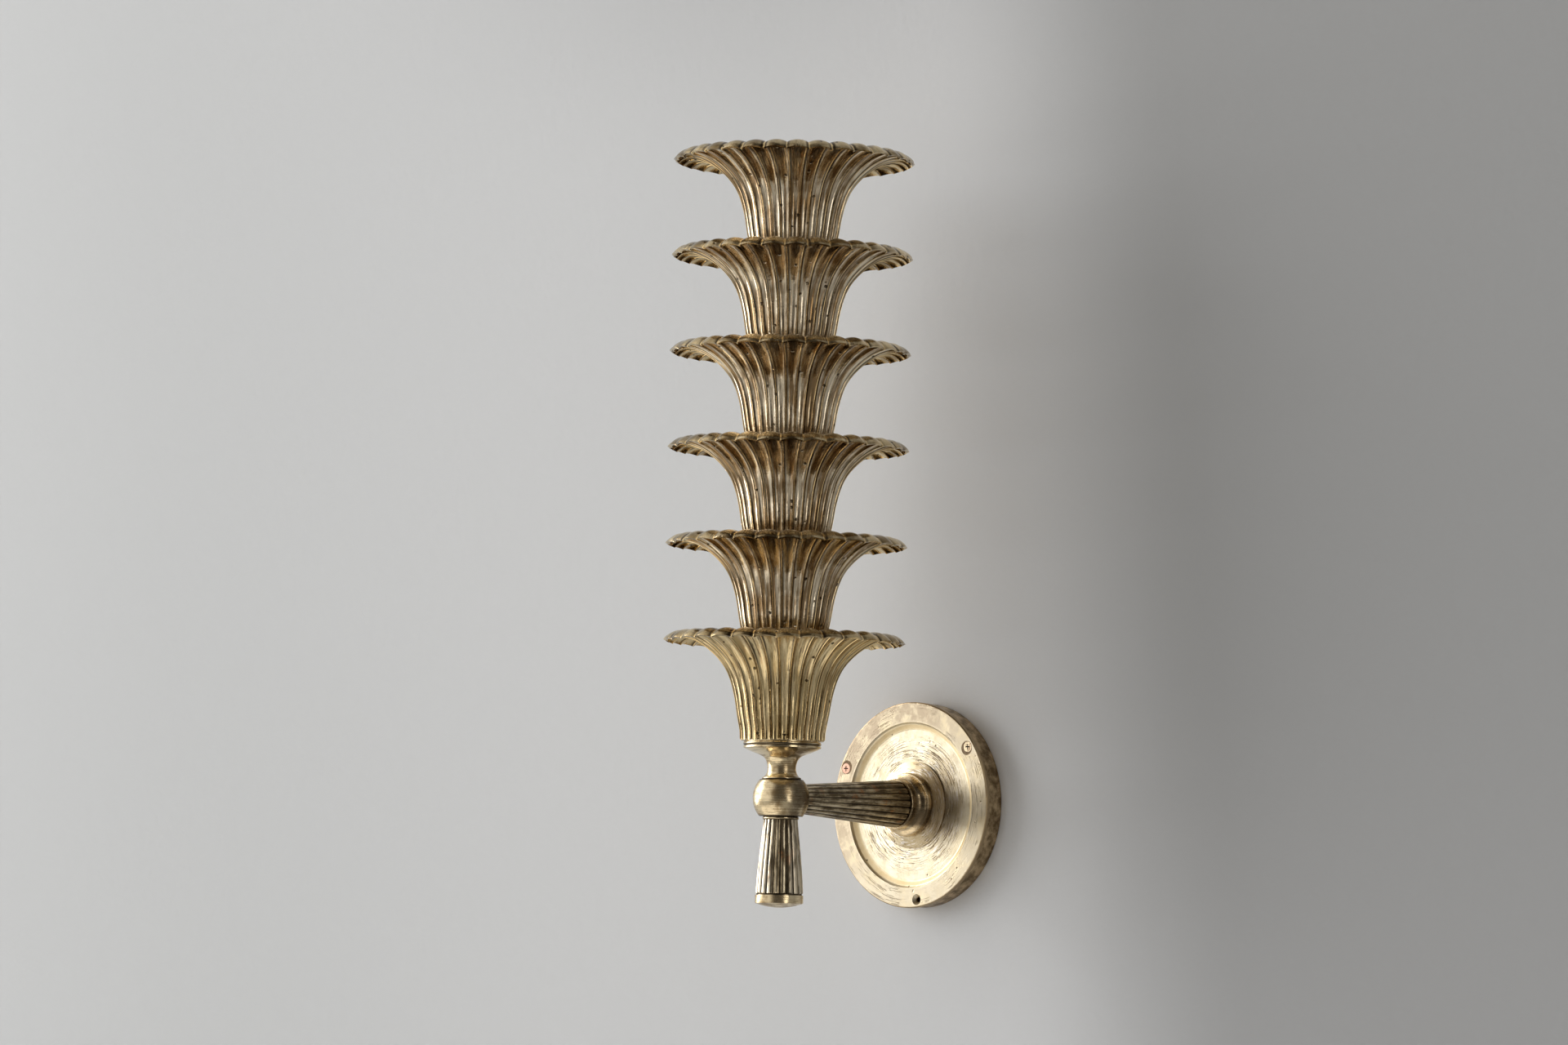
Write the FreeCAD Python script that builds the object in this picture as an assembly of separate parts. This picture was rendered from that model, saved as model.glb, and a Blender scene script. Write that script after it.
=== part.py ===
import FreeCAD, Part
import math
import os
from FreeCAD import Vector

# Shell wall sconce, in millimetres, +Z up. The origin is the centre of the back on the wall,
# the wall is the plane y = 0, and the arm reaches out along -Y to the upright column.

# ---- wall plate, its ring and its screws ---------------------------------------------------------
plate_radius = 67.0          # outer radius of the round wall plate
plate_edge = 2.6             # thickness of the plate at its rim
plate_sheet = 1.6            # thickness of the dished field
plate_round = 0.8            # rounding of the rim's front edge
rim_width = 13.0             # flat raised band round the plate
dish_drop = 3.3              # the field lies this far behind the rim
dish_slope = 4.9             # width of the hollow slope from rim to field
slope_middle_out = 2.8       # the slope's middle lies this far out of its foot
slope_middle_drop = 2.3      # and this far behind the rim
ring_depth = 11.6            # depth of the ring between plate and wall
ring_inset = 0.6             # the ring's radius is this much less than the plate's
ring_width = 11.0            # radial width of the ring
ring_groove = 0.5            # width and depth of the fine groove between plate and ring
hole_circle = 62.0           # radius of the circle of the three plate holes
hole_turn = 7.0              # the three holes are turned by this angle from upright, degrees
hole_fit = 0.2               # radial clearance of a screw in the plate
screw_radius = 1.75
screw_length = 13.4
screw_head_radius = 3.4
screw_head_flat = 0.25       # straight edge of the countersunk head
recess_width = 0.75          # the two crossed slots in a head
recess_length = 3.7
recess_depth = 1.1
lug_thickness = 2.5          # two lugs inside the ring take the wall's own screws
lug_width = 16.0
lug_circle = 46.0            # radius on which the lugs' holes lie
lug_hole_radius = 2.25

# ---- ball, stem and beads ------------------------------------------------------------------------
column_reach = 136.5         # from the wall to the column's axis
ball_radius = 18.1
ball_flat = 11.7             # the ball is turned flat this far above and below its centre
ball_arm_flat = 15.3         # and this far from its centre where the arm seats
ball_cavity = 9.0            # radius of the hollow in the ball, where the leads bend
bead_radius = 12.5           # the bead between ball and stem
bead_height = 1.5
bead_round = 0.6             # a bead's edges lie this far inside its middle
stem_foot_radius = 11.5
stem_neck_radius = 9.1
stem_top = 36.2              # top of the stem, where the first shell sits
saucer_radius = 24.8         # edge of the stem's trumpet
saucer_edge = 0.9
flange_radius = 24.9
flange_height = 2.4
gap_radius = 23.2            # the dark gaps over and under the flange are cut in to this
gap_over_flange = 0.6
gap_under_flange = 0.4
# the trumpet between its foot and the saucer: share of the height, share of the way out
trumpet = [
    (0.11, 0.05),
    (0.27, 0.00),
    (0.46, 0.02),
    (0.59, 0.08),
    (0.69, 0.18),
    (0.77, 0.36),
    (0.86, 0.64),
    (0.94, 0.86),
]

# ---- shells --------------------------------------------------------------------------------------
shell_count = 6
shell_height = 61.7          # from a shell's base to the lower edge of its lip
shell_lap = 0.0              # a shell's base stands this far above the lip edge of the one below
shell_base_radius = 27.3
shell_crown_radius = 70.6
shell_crown_rise = 6.4       # the rolled crown stands this far above the lip's lower edge
shell_lip_radius = 77.8
shell_wall = 1.4
floor_thickness = 2.0        # of a shell's flat floor
shell_chamfer = 1.1          # round the base, which scallops the flutes' lower ends
flute_count = 32
flute_depth_neck = 1.0
flute_depth_crown = 1.7
flute_depth_lip = 2.3
# the flare between base and crown: share of the height, share of the way out to the crown
flare = [
    (0.00, 0.000),
    (0.06, 0.000),
    (0.13, 0.012),
    (0.25, 0.046),
    (0.40, 0.080),
    (0.52, 0.117),
    (0.65, 0.175),
    (0.75, 0.245),
    (0.83, 0.330),
    (0.90, 0.428),
    (0.96, 0.535),
    (1.01, 0.650),
    (1.05, 0.790),
]

# ---- hollow rods, nuts and spacers ---------------------------------------------------------------
rod_radius = 5.0             # M10 x 1 hollow rod
rod_bore = 4.0
rod_fit = 0.2                # radial clearance of a piece that slips over a rod
spacer_radius = 8.0
nut_across = 14.0
nut_height = 3.0
washer_radius = 10.0
washer_height = 1.2
rod_stand = 1.0              # the arm's rod stands out of its nut by this much

# ---- reeded finial and arm -----------------------------------------------------------------------
reed_count = 20
reed_depth_share = 0.2       # depth of the valley between two reeds, as a share of a reed's width
reed_end_round = 1.6
finial_bead_radius = 11.5    # the bead between ball and finial
finial_bead_height = 2.2
finial_top_radius = 10.9
finial_low_radius = 15.3
finial_length = 47.3
finial_swell = 0.35          # the finial is this much fuller than a straight taper
swell_place = 1.5            # over 1 moves the fullest place towards the wide end
finial_groove = 0.7          # height and depth of the groove over the end band
band_radius = 15.4
band_height = 5.0
dome_drop = 2.8
dome_tip = 0.5               # radius of the flat at the dome's middle
finial_screw_radius = 3.0    # M6 stud between finial and ball
arm_ball_radius = 9.3
arm_wall_radius = 15.4
arm_end_gap = 15.4           # from the wide end of the reeds to the plate's rim face

# ---- collar and boss against the plate -----------------------------------------------------------
collar_bead_radius = 16.5
collar_bead_width = 2.4
collar_neck_radius = 15.0
collar_neck_width = 1.0
collar_flange_radius = 20.8
collar_flange_width = 4.4
collar_groove = 0.6          # width and depth of the groove between flange and boss
boss_radius = 28.5
boss_height = 3.2
boss_edge = 0.9

# ---- lamp and its holder -------------------------------------------------------------------------
holder_radius = 13.4
holder_height = 27.0
holder_neck_radius = 9.5
holder_neck_height = 5.0
thread_grip = 4.5            # the rod enters the holder by this much
socket_radius = 7.5
socket_depth = 19.5
cap_radius = 6.9
cap_length = 18.0
cap_tip_radius = 3.1
cap_slope = 2.4              # height of the cap's insulating cone
contact_radius = 2.4
contact_height = 1.2
contact_seat = 2.0           # the contact's stem fills the holder's floor this deep
contact_gap = 0.3
glass_radius = 13.0
glass_length = 35.0
glass_neck = 1.0             # from the holder's mouth to the shoulder of the glass
glass_inset = 0.4            # the neck of the glass is this much thinner than the cap

# ---- wiring and earth ----------------------------------------------------------------------------
lead_radius = 1.1
lead_spacing = 5.0
lead_bend = 9.0              # radius of a lead's bend inside the ball
lead_back_bend = 3.5         # radius of a lead's bend behind the plate
lead_wall_gap = 3.2          # from the wall to the middle of a lead behind the plate
lead_grip = 2.0              # a lead enters its terminal by this much
block_length = 16.0
block_width = 14.0
block_place = 18.0           # lower end of the terminal block above the arm's axis
block_wall_gap = 0.6
terminal_radius = 1.9
terminal_screw_radius = 1.2
terminal_screw_place = 11.5  # above the block's lower end
terminal_screw_sink = 0.4    # below the block's face
earth_place = 24.0           # the earth stud lies this far below the arm's axis
earth_radius = 2.0
earth_boss_radius = 5.0
earth_boss_height = 2.0
earth_nut_across = 7.0
earth_nut_height = 2.4
earth_stud_stand = 0.8

# ---- construction --------------------------------------------------------------------------------
flute_rows = 20              # rows of points in a flute's face
reed_rows = 6                # rows of points in a reed's face
face_columns = 4             # columns of points in either
seam = 1e-4                  # points nearer than this are one
past = 1.0                   # a cutting tool runs past what it cuts by this much

# ---- worked out from the sizes above -------------------------------------------------------------
plate_face = -(ring_depth + ring_groove + plate_edge)
field_back = plate_face + dish_drop + plate_sheet
rim_inner = plate_radius - rim_width
ring_radius = plate_radius - ring_inset
ring_inner = ring_radius - ring_width
hole_angles = [math.radians(hole_turn + angle) for angle in (30.0, 150.0, 270.0)]
shell_pitch = shell_height + shell_lap
rod_hole = rod_radius + rod_fit
bead_top = ball_flat + bead_height
flange_high = stem_top - gap_over_flange
flange_low = flange_high - flange_height
saucer_high = flange_low - gap_under_flange
saucer_low = saucer_high - saucer_edge
finial_start = ball_flat + finial_bead_height
top_floor = stem_top + shell_pitch * (shell_count - 1) + floor_thickness
nut_base = top_floor + washer_height
holder_base = nut_base + nut_height
holder_top = holder_base + holder_height
rod_top = holder_base + thread_grip
socket_floor = holder_top - socket_depth
arm_start = -column_reach + ball_arm_flat
arm_end = plate_face - arm_end_gap
boss_face = plate_face + dish_drop - boss_height
collar_end = boss_face - collar_groove
wall_nut_end = field_back + washer_height + nut_height
block_back = -block_wall_gap
terminal_screw_length = lead_wall_gap - block_wall_gap - terminal_screw_sink - lead_radius
holder_contact_foot = socket_floor - contact_seat
near_share = 1 - math.sqrt(0.5)      # the middle of a quarter round, from its near side
far_share = math.sqrt(0.5)           # and from its far side
up = Vector(0, 0, 1)
down = Vector(0, 0, -1)
to_wall = Vector(0, 1, 0)
zero = Vector(0, 0, 0)
ball_centre = Vector(0, -column_reach, 0)

os.makedirs("parts", exist_ok=True)


# ---- helpers -------------------------------------------------------------------------------------


def save(name, shape):
    """Write one node, after a test that every solid in it is valid."""
    for solid in shape.Solids:
        if not solid.isValid() or solid.Volume <= 0:
            raise ValueError("bad solid in " + name)
    shape.exportStep("parts/" + name + ".step")


def laid(shape, place, axis=up):
    """Lay a shape that was made on the Z axis on another axis, with its foot at place."""
    turn = FreeCAD.Rotation(up, axis)
    shape.Placement = FreeCAD.Placement(place, turn)
    return shape


def at(radius, height):
    """A point of a turned profile."""
    return Vector(radius, 0, height)


def line(start, end):
    return Part.makeLine(start, end)


def arc(start, middle, end):
    return Part.Arc(start, middle, end).toShape()


def smooth_curve(points):
    """One smooth curve through points."""
    curve = Part.BSplineCurve()
    curve.interpolate(points)
    return curve


def turned(edges, place=zero, axis=up):
    """Turn a closed run of profile edges all round."""
    face = Part.Face(Part.Wire(edges))
    return laid(face.revolve(zero, up, 360), place, axis)


def turned_corners(corners, place=zero, axis=up):
    """Turn a closed profile of straight lines all round."""
    face = Part.Face(Part.makePolygon(corners + [corners[0]]))
    return laid(face.revolve(zero, up, 360), place, axis)


def chain(corners):
    """Straight edges from corner to corner."""
    return [line(start, end) for start, end in zip(corners, corners[1:])]


def half_round(radius, low, high):
    """A bead's rounded outside, from its low side to its high side."""
    middle = 0.5 * (low + high)
    return [arc(at(radius - bead_round, low), at(radius, middle), at(radius - bead_round, high))]


def round_corner(start, end):
    """A quarter round that leaves start along the radius and reaches end along the height."""
    middle = at(start.x + (end.x - start.x) * far_share, start.z + (end.z - start.z) * near_share)
    return arc(start, middle, end)


def tube(outer, inner, length, place, axis=up):
    """A round tube from place along axis."""
    solid = Part.makeCylinder(outer, length, place, axis)
    return solid.cut(Part.makeCylinder(inner, length, place, axis))


def hex_nut(across, bore, height, place, axis=up):
    """A hexagon nut whose corners are turned off by a cone at both faces."""
    corner = across / math.sqrt(3)
    angles = [math.radians(60 * number) for number in range(6)]
    corners = [Vector(corner * math.cos(angle), corner * math.sin(angle), 0) for angle in angles]
    body = Part.Face(Part.makePolygon(corners + [corners[0]])).extrude(up * height)
    flat = across * 0.5
    drop = (corner - flat) * math.tan(math.radians(30))
    cones = turned_corners([at(0, 0), at(flat, 0), at(corner, drop), at(corner, height - drop),
                            at(flat, height), at(0, height)])
    return laid(body.common(cones).cut(Part.makeCylinder(bore, height)), place, axis)


def lead_path(points, radii):
    """Straight runs through points, joined by tangent arcs of the given radii at the inner ones."""
    edges = []
    start = points[0]
    for before, corner, after, radius in zip(points, points[1:], points[2:], radii):
        back = (before - corner).normalize()
        ahead = (after - corner).normalize()
        half = 0.5 * back.getAngle(ahead)
        setback = radius / math.tan(half)
        enter = corner + back * setback
        leave = corner + ahead * setback
        centre_way = (back + ahead).normalize()
        middle = corner + centre_way * (radius / math.sin(half) - radius)
        edges.append(line(start, enter))
        edges.append(arc(enter, middle, leave))
        start = leave
    edges.append(line(start, points[-1]))
    return Part.Wire(edges)


def lead_solid(points, radii):
    """A round lead along a path of runs and arcs."""
    path = lead_path(points, radii)
    circle = Part.Wire([Part.makeCircle(lead_radius, points[0], points[1] - points[0])])
    solid = path.makePipeShell([circle], True, False)
    plain_volume = math.pi * lead_radius ** 2 * path.Length
    print("lead: length", round(path.Length, 1), "bends", radii)
    print("volume over section times length", round(solid.Volume / plain_volume, 4))
    return solid


# ---- shells --------------------------------------------------------------------------------------


def shell_ridge():
    """The line of one sharp ridge on the outside, from the base out to the lip's lower edge."""
    reach = shell_crown_radius - shell_base_radius
    points = [Vector(shell_base_radius + share_out * reach, 0, share_up * shell_height)
              for share_up, share_out in flare]
    under_crown = shell_height + shell_crown_rise - shell_wall - flute_depth_crown
    under_lip = shell_lip_radius - shell_wall - flute_depth_lip
    points.append(Vector(shell_crown_radius, 0, under_crown))
    points.append(Vector(under_lip, 0, shell_height))
    return smooth_curve(points)


def flute_depth(radius):
    """Depth of a flute between its ridges, which grows from neck to crown to lip."""
    if radius < shell_crown_radius:
        share = (radius - shell_base_radius) / (shell_crown_radius - shell_base_radius)
        return flute_depth_neck + (flute_depth_crown - flute_depth_neck) * max(share, 0)
    under_lip = shell_lip_radius - shell_wall - flute_depth_lip
    share = (radius - shell_crown_radius) / (under_lip - shell_crown_radius)
    return flute_depth_crown + (flute_depth_lip - flute_depth_crown) * min(share, 1)


def flute_grid(curve, first, offset):
    """Rows of points over one flute; offset 0 is the outside and shell_wall the inside."""
    grid = []
    for row in range(flute_rows + 1):
        parameter = first + (curve.LastParameter - first) * row / flute_rows
        point = curve.value(parameter)
        tangent = curve.tangent(parameter)[0]
        normal = Vector(-tangent.z, 0, tangent.x)
        depth = flute_depth(point.x)
        across = []
        for column in range(face_columns + 1):
            share = 2.0 * column / face_columns - 1.0
            sunk = point + normal * (offset + depth * (1 - share * share))
            angle = share * math.pi / flute_count
            across.append(Vector(sunk.x * math.cos(angle), sunk.x * math.sin(angle), sunk.z))
        grid.append(across)
    return grid


def grid_face(grid):
    """A smooth face through rows of points."""
    surface = Part.BSplineSurface()
    surface.interpolate(grid)
    return surface.toShape()


def ring_copies(shape, count):
    """The shape and its copies once round the axis."""
    copies = []
    for number in range(count):
        copy = shape.copy()
        copy.rotate(zero, up, 360.0 * number / count)
        copies.append(copy)
    return copies


def row_edge(face, row):
    """The edge of a face that joins the ends of a row of its points."""
    for edge in face.Edges:
        ends = [vertex.Point for vertex in edge.Vertexes]
        near = min(end.distanceToPoint(row[0]) for end in ends)
        far = min(end.distanceToPoint(row[-1]) for end in ends)
        if near < seam and far < seam:
            return edge
    raise ValueError("the row has no edge")


def holed_floor(edge, count, hole, height):
    """A flat face with a round hole, inside the scalloped loop that copies of one edge make."""
    loop = Part.Wire(Part.__sortEdges__(ring_copies(edge, count)))
    circle = Part.Wire([Part.makeCircle(hole, Vector(0, 0, height))])
    return Part.Face([loop, circle], "Part::FaceMakerBullseye")


def bore_face(radius, low, high):
    """The inside of a round hole between two heights."""
    hole = Part.makeCylinder(radius, high - low, Vector(0, 0, low))
    return [face for face in hole.Faces if face.Surface.TypeId == "Part::GeomCylinder"]


def sewn(faces):
    """A solid inside faces that meet edge to edge."""
    skin = Part.makeShell(faces)
    skin.sewShape()
    solid = Part.makeSolid(skin)
    if solid.Volume < 0:
        solid.reverse()
    return solid


def fluted_shell():
    """One trumpet shell: a thin fluted wall of even thickness with a flat holed floor."""
    curve = shell_ridge()
    outer = flute_grid(curve, curve.FirstParameter, 0.0)
    floor_parameter = curve.parameter(Vector(shell_base_radius, 0, floor_thickness))
    inner = flute_grid(curve, floor_parameter, shell_wall)
    for point in outer[0]:
        point.z = 0.0
    for point in inner[0]:
        point.z = floor_thickness
    outer_face = grid_face(outer)
    inner_face = grid_face(inner)
    lip = Part.makeRuledSurface(row_edge(outer_face, outer[-1]), row_edge(inner_face, inner[-1]))
    faces = ring_copies(outer_face, flute_count)
    faces += ring_copies(inner_face, flute_count)
    faces += ring_copies(lip, flute_count)
    faces.append(holed_floor(row_edge(outer_face, outer[0]), flute_count, rod_hole, 0.0))
    faces.append(holed_floor(row_edge(inner_face, inner[0]), flute_count, rod_hole, floor_thickness))
    faces += bore_face(rod_hole, 0.0, floor_thickness)
    solid = sewn(faces)
    chamfer_foot = shell_base_radius - shell_chamfer
    outside = shell_base_radius + past
    cutter = turned_corners([at(chamfer_foot, 0), at(chamfer_foot, -past), at(outside, -past),
                             at(outside, shell_chamfer + past)])
    return solid.cut(cutter)


def make_shells():
    """Six like shells stand in one another's mouths up the column."""
    shell = fluted_shell()
    for number in range(shell_count):
        copy = shell.copy()
        base = stem_top + shell_pitch * number
        copy.translate(ball_centre + up * base)
        save("shell_tier_" + str(number + 1), copy)


# ---- reeded bodies -------------------------------------------------------------------------------


def reed_grid(crest, count):
    """Rows of points over one convex reed, given points up its crest from end to end."""
    grid = []
    for point in crest:
        width = 2 * math.pi * point.x / count
        depth = width * reed_depth_share
        across = []
        for column in range(face_columns + 1):
            share = 2.0 * column / face_columns - 1.0
            radius = point.x - depth * share * share
            angle = share * math.pi / count
            across.append(Vector(radius * math.cos(angle), radius * math.sin(angle), point.z))
        grid.append(across)
    return grid


def reeded_body(start_radius, end_radius, length, fullness, hole):
    """A tapered body of convex reeds with a round bore; fullness swells the taper beyond straight."""
    crest = []
    for row in range(reed_rows + 1):
        share = row / reed_rows
        swell = fullness * math.sin(math.pi * share ** swell_place)
        crest.append(at(start_radius + (end_radius - start_radius) * share + swell, length * share))
    grid = reed_grid(crest, reed_count)
    face = grid_face(grid)
    faces = ring_copies(face, reed_count)
    faces.append(holed_floor(row_edge(face, grid[0]), reed_count, hole, 0.0))
    faces.append(holed_floor(row_edge(face, grid[-1]), reed_count, hole, length))
    faces += bore_face(hole, 0.0, length)
    return sewn(faces)


def rounded_end(body, end_radius, length):
    """Round off the reeds at their wide end, like fingertips."""
    outside = end_radius + past
    start = at(end_radius, length - reed_end_round)
    end = at(end_radius - reed_end_round, length)
    middle = at(end_radius - reed_end_round * near_share, length - reed_end_round * near_share)
    edges = [arc(start, middle, end)]
    edges += chain([end, at(end.x, length + past), at(outside, length + past),
                    at(outside, start.z - past), start])
    return body.cut(turned(edges))


def make_finial():
    """The reeded finial hangs under the ball; a smooth band and a low dome close its wide end."""
    body = reeded_body(finial_top_radius, finial_low_radius, finial_length, finial_swell, finial_screw_radius)
    body = rounded_end(body, finial_low_radius, finial_length)
    save("finial", laid(body, ball_centre + down * finial_start, down))

    inner = finial_bead_radius - bead_round
    bead = half_round(finial_bead_radius, 0, finial_bead_height)
    bead += chain([at(inner, finial_bead_height), at(finial_screw_radius, finial_bead_height),
                   at(finial_screw_radius, 0), at(inner, 0)])
    save("finial_bead", turned(bead, ball_centre + down * ball_flat, down))


def make_end_cap():
    """The smooth band and low dome under the finial, and the stud that holds them to the ball."""
    cap_start = finial_start + finial_length
    neck = finial_low_radius - finial_groove
    dome_foot = finial_groove + band_height
    dome_end = dome_foot + dome_drop
    stud_room = dome_foot - band_height * 0.5
    sphere = (band_radius ** 2 + dome_drop ** 2) / (2 * dome_drop)
    half_way = band_radius * 0.5
    dome_middle = at(half_way, dome_end - sphere + math.sqrt(sphere ** 2 - half_way ** 2))
    outline = chain([at(finial_screw_radius, 0), at(neck, 0), at(neck, finial_groove),
                     at(band_radius, finial_groove), at(band_radius, dome_foot)])
    outline.append(arc(at(band_radius, dome_foot), dome_middle, at(dome_tip, dome_end)))
    outline += chain([at(dome_tip, dome_end), at(0, dome_end), at(0, stud_room),
                      at(finial_screw_radius, stud_room), at(finial_screw_radius, 0)])
    save("finial_end_cap", turned(outline, ball_centre + down * cap_start, down))
    stud_length = cap_start + stud_room - ball_cavity
    stud_place = ball_centre + down * ball_cavity
    save("finial_stud", Part.makeCylinder(finial_screw_radius, stud_length, stud_place, down))


# ---- column --------------------------------------------------------------------------------------


def make_stem():
    """The turned stem: a bead on the ball, a trumpet up to its saucer edge, and a flange under the shells."""
    edges = chain([at(rod_hole, ball_flat), at(bead_radius - bead_round, ball_flat)])
    edges += half_round(bead_radius, ball_flat, bead_top)
    foot = at(stem_foot_radius, bead_top)
    edges += chain([at(bead_radius - bead_round, bead_top), foot])
    points = [foot]
    for share_up, share_out in trumpet:
        radius = stem_neck_radius + share_out * (saucer_radius - stem_neck_radius)
        points.append(at(radius, bead_top + share_up * (saucer_low - bead_top)))
    points.append(at(saucer_radius, saucer_low))
    edges.append(smooth_curve(points).toShape())
    flange_inner = flange_radius - bead_round
    edges += chain([at(saucer_radius, saucer_low), at(saucer_radius, saucer_high),
                    at(gap_radius, saucer_high), at(gap_radius, flange_low), at(flange_inner, flange_low)])
    edges += half_round(flange_radius, flange_low, flange_high)
    edges += chain([at(flange_inner, flange_high), at(gap_radius, flange_high), at(gap_radius, stem_top),
                    at(rod_hole, stem_top), at(rod_hole, ball_flat)])
    save("stem", turned(edges, ball_centre))


def make_ball():
    """The ball, turned flat where stem, finial and arm seat, hollow inside, and threaded for the rods."""
    ball = Part.makeSphere(ball_radius, ball_centre)
    size = 4 * ball_radius
    corner = ball_centre - Vector(size / 2, size / 2, 0)
    ball = ball.cut(Part.makeBox(size, size, size, corner + up * ball_flat))
    ball = ball.cut(Part.makeBox(size, size, size, corner - up * (ball_flat + size)))
    side = ball_centre + Vector(-size / 2, ball_arm_flat, -size / 2)
    ball = ball.cut(Part.makeBox(size, size, size, side))
    hollow = Part.makeCylinder(rod_radius, ball_radius, ball_centre, up)
    hollow = hollow.fuse(Part.makeCylinder(rod_radius, ball_radius, ball_centre, to_wall))
    hollow = hollow.fuse(Part.makeCylinder(finial_screw_radius, ball_radius, ball_centre, down))
    hollow = hollow.fuse(Part.makeSphere(ball_cavity, ball_centre))
    save("ball_joint", ball.cut(hollow))


def make_rods_and_stack():
    """The hollow rod up the column, the tubes that space the shells, and what clamps the stack."""
    rod_foot = ball_centre + up * ball_cavity
    save("column_rod", tube(rod_radius, rod_bore, rod_top - ball_cavity, rod_foot))
    spacer_length = shell_pitch - floor_thickness
    for number in range(shell_count - 1):
        floor = stem_top + shell_pitch * number + floor_thickness
        spacer = tube(spacer_radius, rod_hole, spacer_length, ball_centre + up * floor)
        save("shell_spacer_" + str(number + 1), spacer)
    save("top_washer", tube(washer_radius, rod_hole, washer_height, ball_centre + up * top_floor))
    save("top_nut", hex_nut(nut_across, rod_radius, nut_height, ball_centre + up * nut_base))


def make_arm():
    """The reeded arm with its hollow rod, which ties ball, collar and plate together."""
    length = arm_end - arm_start
    body = reeded_body(arm_ball_radius, arm_wall_radius, length, 0.0, rod_hole)
    body = rounded_end(body, arm_wall_radius, length)
    save("arm", laid(body, Vector(0, arm_start, 0), to_wall))
    rod_start = -column_reach + ball_cavity
    rod_end = wall_nut_end + rod_stand
    save("arm_rod", tube(rod_radius, rod_bore, rod_end - rod_start, Vector(0, rod_start, 0), to_wall))
    save("wall_washer", tube(washer_radius, rod_hole, washer_height, Vector(0, field_back, 0), to_wall))
    nut_place = Vector(0, field_back + washer_height, 0)
    save("wall_nut", hex_nut(nut_across, rod_radius, nut_height, nut_place, to_wall))


def make_collar():
    """The collar: a thin bead, a hollow neck that opens out, and a thick flange; then the boss."""
    length = collar_end - arm_end
    neck_start = collar_bead_width + collar_neck_width
    flange_start = length - collar_flange_width
    edges = chain([at(rod_hole, 0), at(collar_bead_radius - bead_round, 0)])
    edges += half_round(collar_bead_radius, 0, collar_bead_width)
    neck = at(collar_neck_radius, neck_start)
    edges += chain([at(collar_bead_radius - bead_round, collar_bead_width),
                    at(collar_neck_radius, collar_bead_width), neck])
    cove_end = at(collar_flange_radius - bead_round, flange_start)
    cove_middle = at(neck.x + (cove_end.x - neck.x) * near_share, neck.z + (cove_end.z - neck.z) * far_share)
    edges.append(arc(neck, cove_middle, cove_end))
    edges += half_round(collar_flange_radius, flange_start, length)
    edges += chain([at(collar_flange_radius - bead_round, length), at(rod_hole, length), at(rod_hole, 0)])
    save("collar", turned(edges, Vector(0, arm_end, 0), to_wall))

    inner = collar_flange_radius - collar_groove
    top = collar_groove + boss_height
    corners = [at(rod_hole, 0), at(inner, 0), at(inner, collar_groove),
               at(collar_flange_radius, collar_groove), at(boss_radius, top - boss_edge),
               at(boss_radius, top), at(rod_hole, top)]
    save("plate_boss", turned_corners(corners, Vector(0, collar_end, 0), to_wall))


# ---- plate ---------------------------------------------------------------------------------------


def hole_points(depth):
    """The middles of the three plate holes at one distance from the wall."""
    return [Vector(hole_circle * math.cos(angle), depth, hole_circle * math.sin(angle))
            for angle in hole_angles]


def screw_head(place, fit):
    """A countersunk head with its flat face at place, pointing to the wall; fit widens it all round."""
    radius = screw_head_radius + fit
    cone = radius - screw_radius - fit
    shape = turned_corners([at(0, 0), at(radius, 0), at(radius, screw_head_flat),
                            at(radius - cone, screw_head_flat + cone), at(0, screw_head_flat + cone)])
    return laid(shape, place, to_wall)


def make_plate():
    """The round plate: a flat raised band, a hollow slope, and a dished field with the rod's hole."""
    slope_foot = at(rim_inner - dish_slope, dish_drop)
    slope_middle = at(slope_foot.x + slope_middle_out, slope_middle_drop)
    back_foot = dish_drop + plate_sheet
    edges = chain([at(rod_hole, dish_drop), slope_foot])
    edges.append(arc(slope_foot, slope_middle, at(rim_inner, 0)))
    edges.append(line(at(rim_inner, 0), at(plate_radius - plate_round, 0)))
    edges.append(round_corner(at(plate_radius - plate_round, 0), at(plate_radius, plate_round)))
    edges += chain([at(plate_radius, plate_round), at(plate_radius, plate_edge), at(ring_inner, plate_edge),
                    at(slope_foot.x, back_foot), at(rod_hole, back_foot), at(rod_hole, dish_drop)])
    plate = turned(edges, Vector(0, plate_face, 0), to_wall)
    for point in hole_points(plate_face):
        plate = plate.cut(screw_head(point, hole_fit))
        plate = plate.cut(Part.makeCylinder(screw_radius + hole_fit, plate_edge + past, point, to_wall))
    save("wall_plate", plate.fuse(earth_boss()).removeSplitter())


def earth_boss():
    """A round boss on the back of the plate that holds the earth stud."""
    place = Vector(0, field_back - plate_sheet * 0.5, -earth_place)
    return Part.makeCylinder(earth_boss_radius, plate_sheet * 0.5 + earth_boss_height, place, to_wall)


def make_ring():
    """The ring behind the plate, with threaded holes for the plate's screws and lugs for the wall's."""
    ring = tube(ring_radius, ring_inner, ring_depth, Vector(0, 0, 0), -to_wall)
    step = tube(ring_radius - ring_groove, ring_inner, ring_groove, Vector(0, -ring_depth, 0), -to_wall)
    ring = ring.fuse(step)
    reach = lug_circle - lug_width * 0.5
    for side in (-1, 1):
        start = min(side * reach, side * (ring_inner + past))
        lug = Part.makeBox(ring_inner + past - reach, lug_thickness, lug_width,
                           Vector(start, -lug_thickness, -lug_width * 0.5))
        ring = ring.fuse(lug)
        hole_place = Vector(side * lug_circle, -lug_thickness - past, 0)
        ring = ring.cut(Part.makeCylinder(lug_hole_radius, lug_thickness + 2 * past, hole_place, to_wall))
    for point in hole_points(past):
        ring = ring.cut(Part.makeCylinder(screw_radius, ring_depth + ring_groove + 2 * past, point, -to_wall))
    save("wall_ring", ring.removeSplitter())


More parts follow.
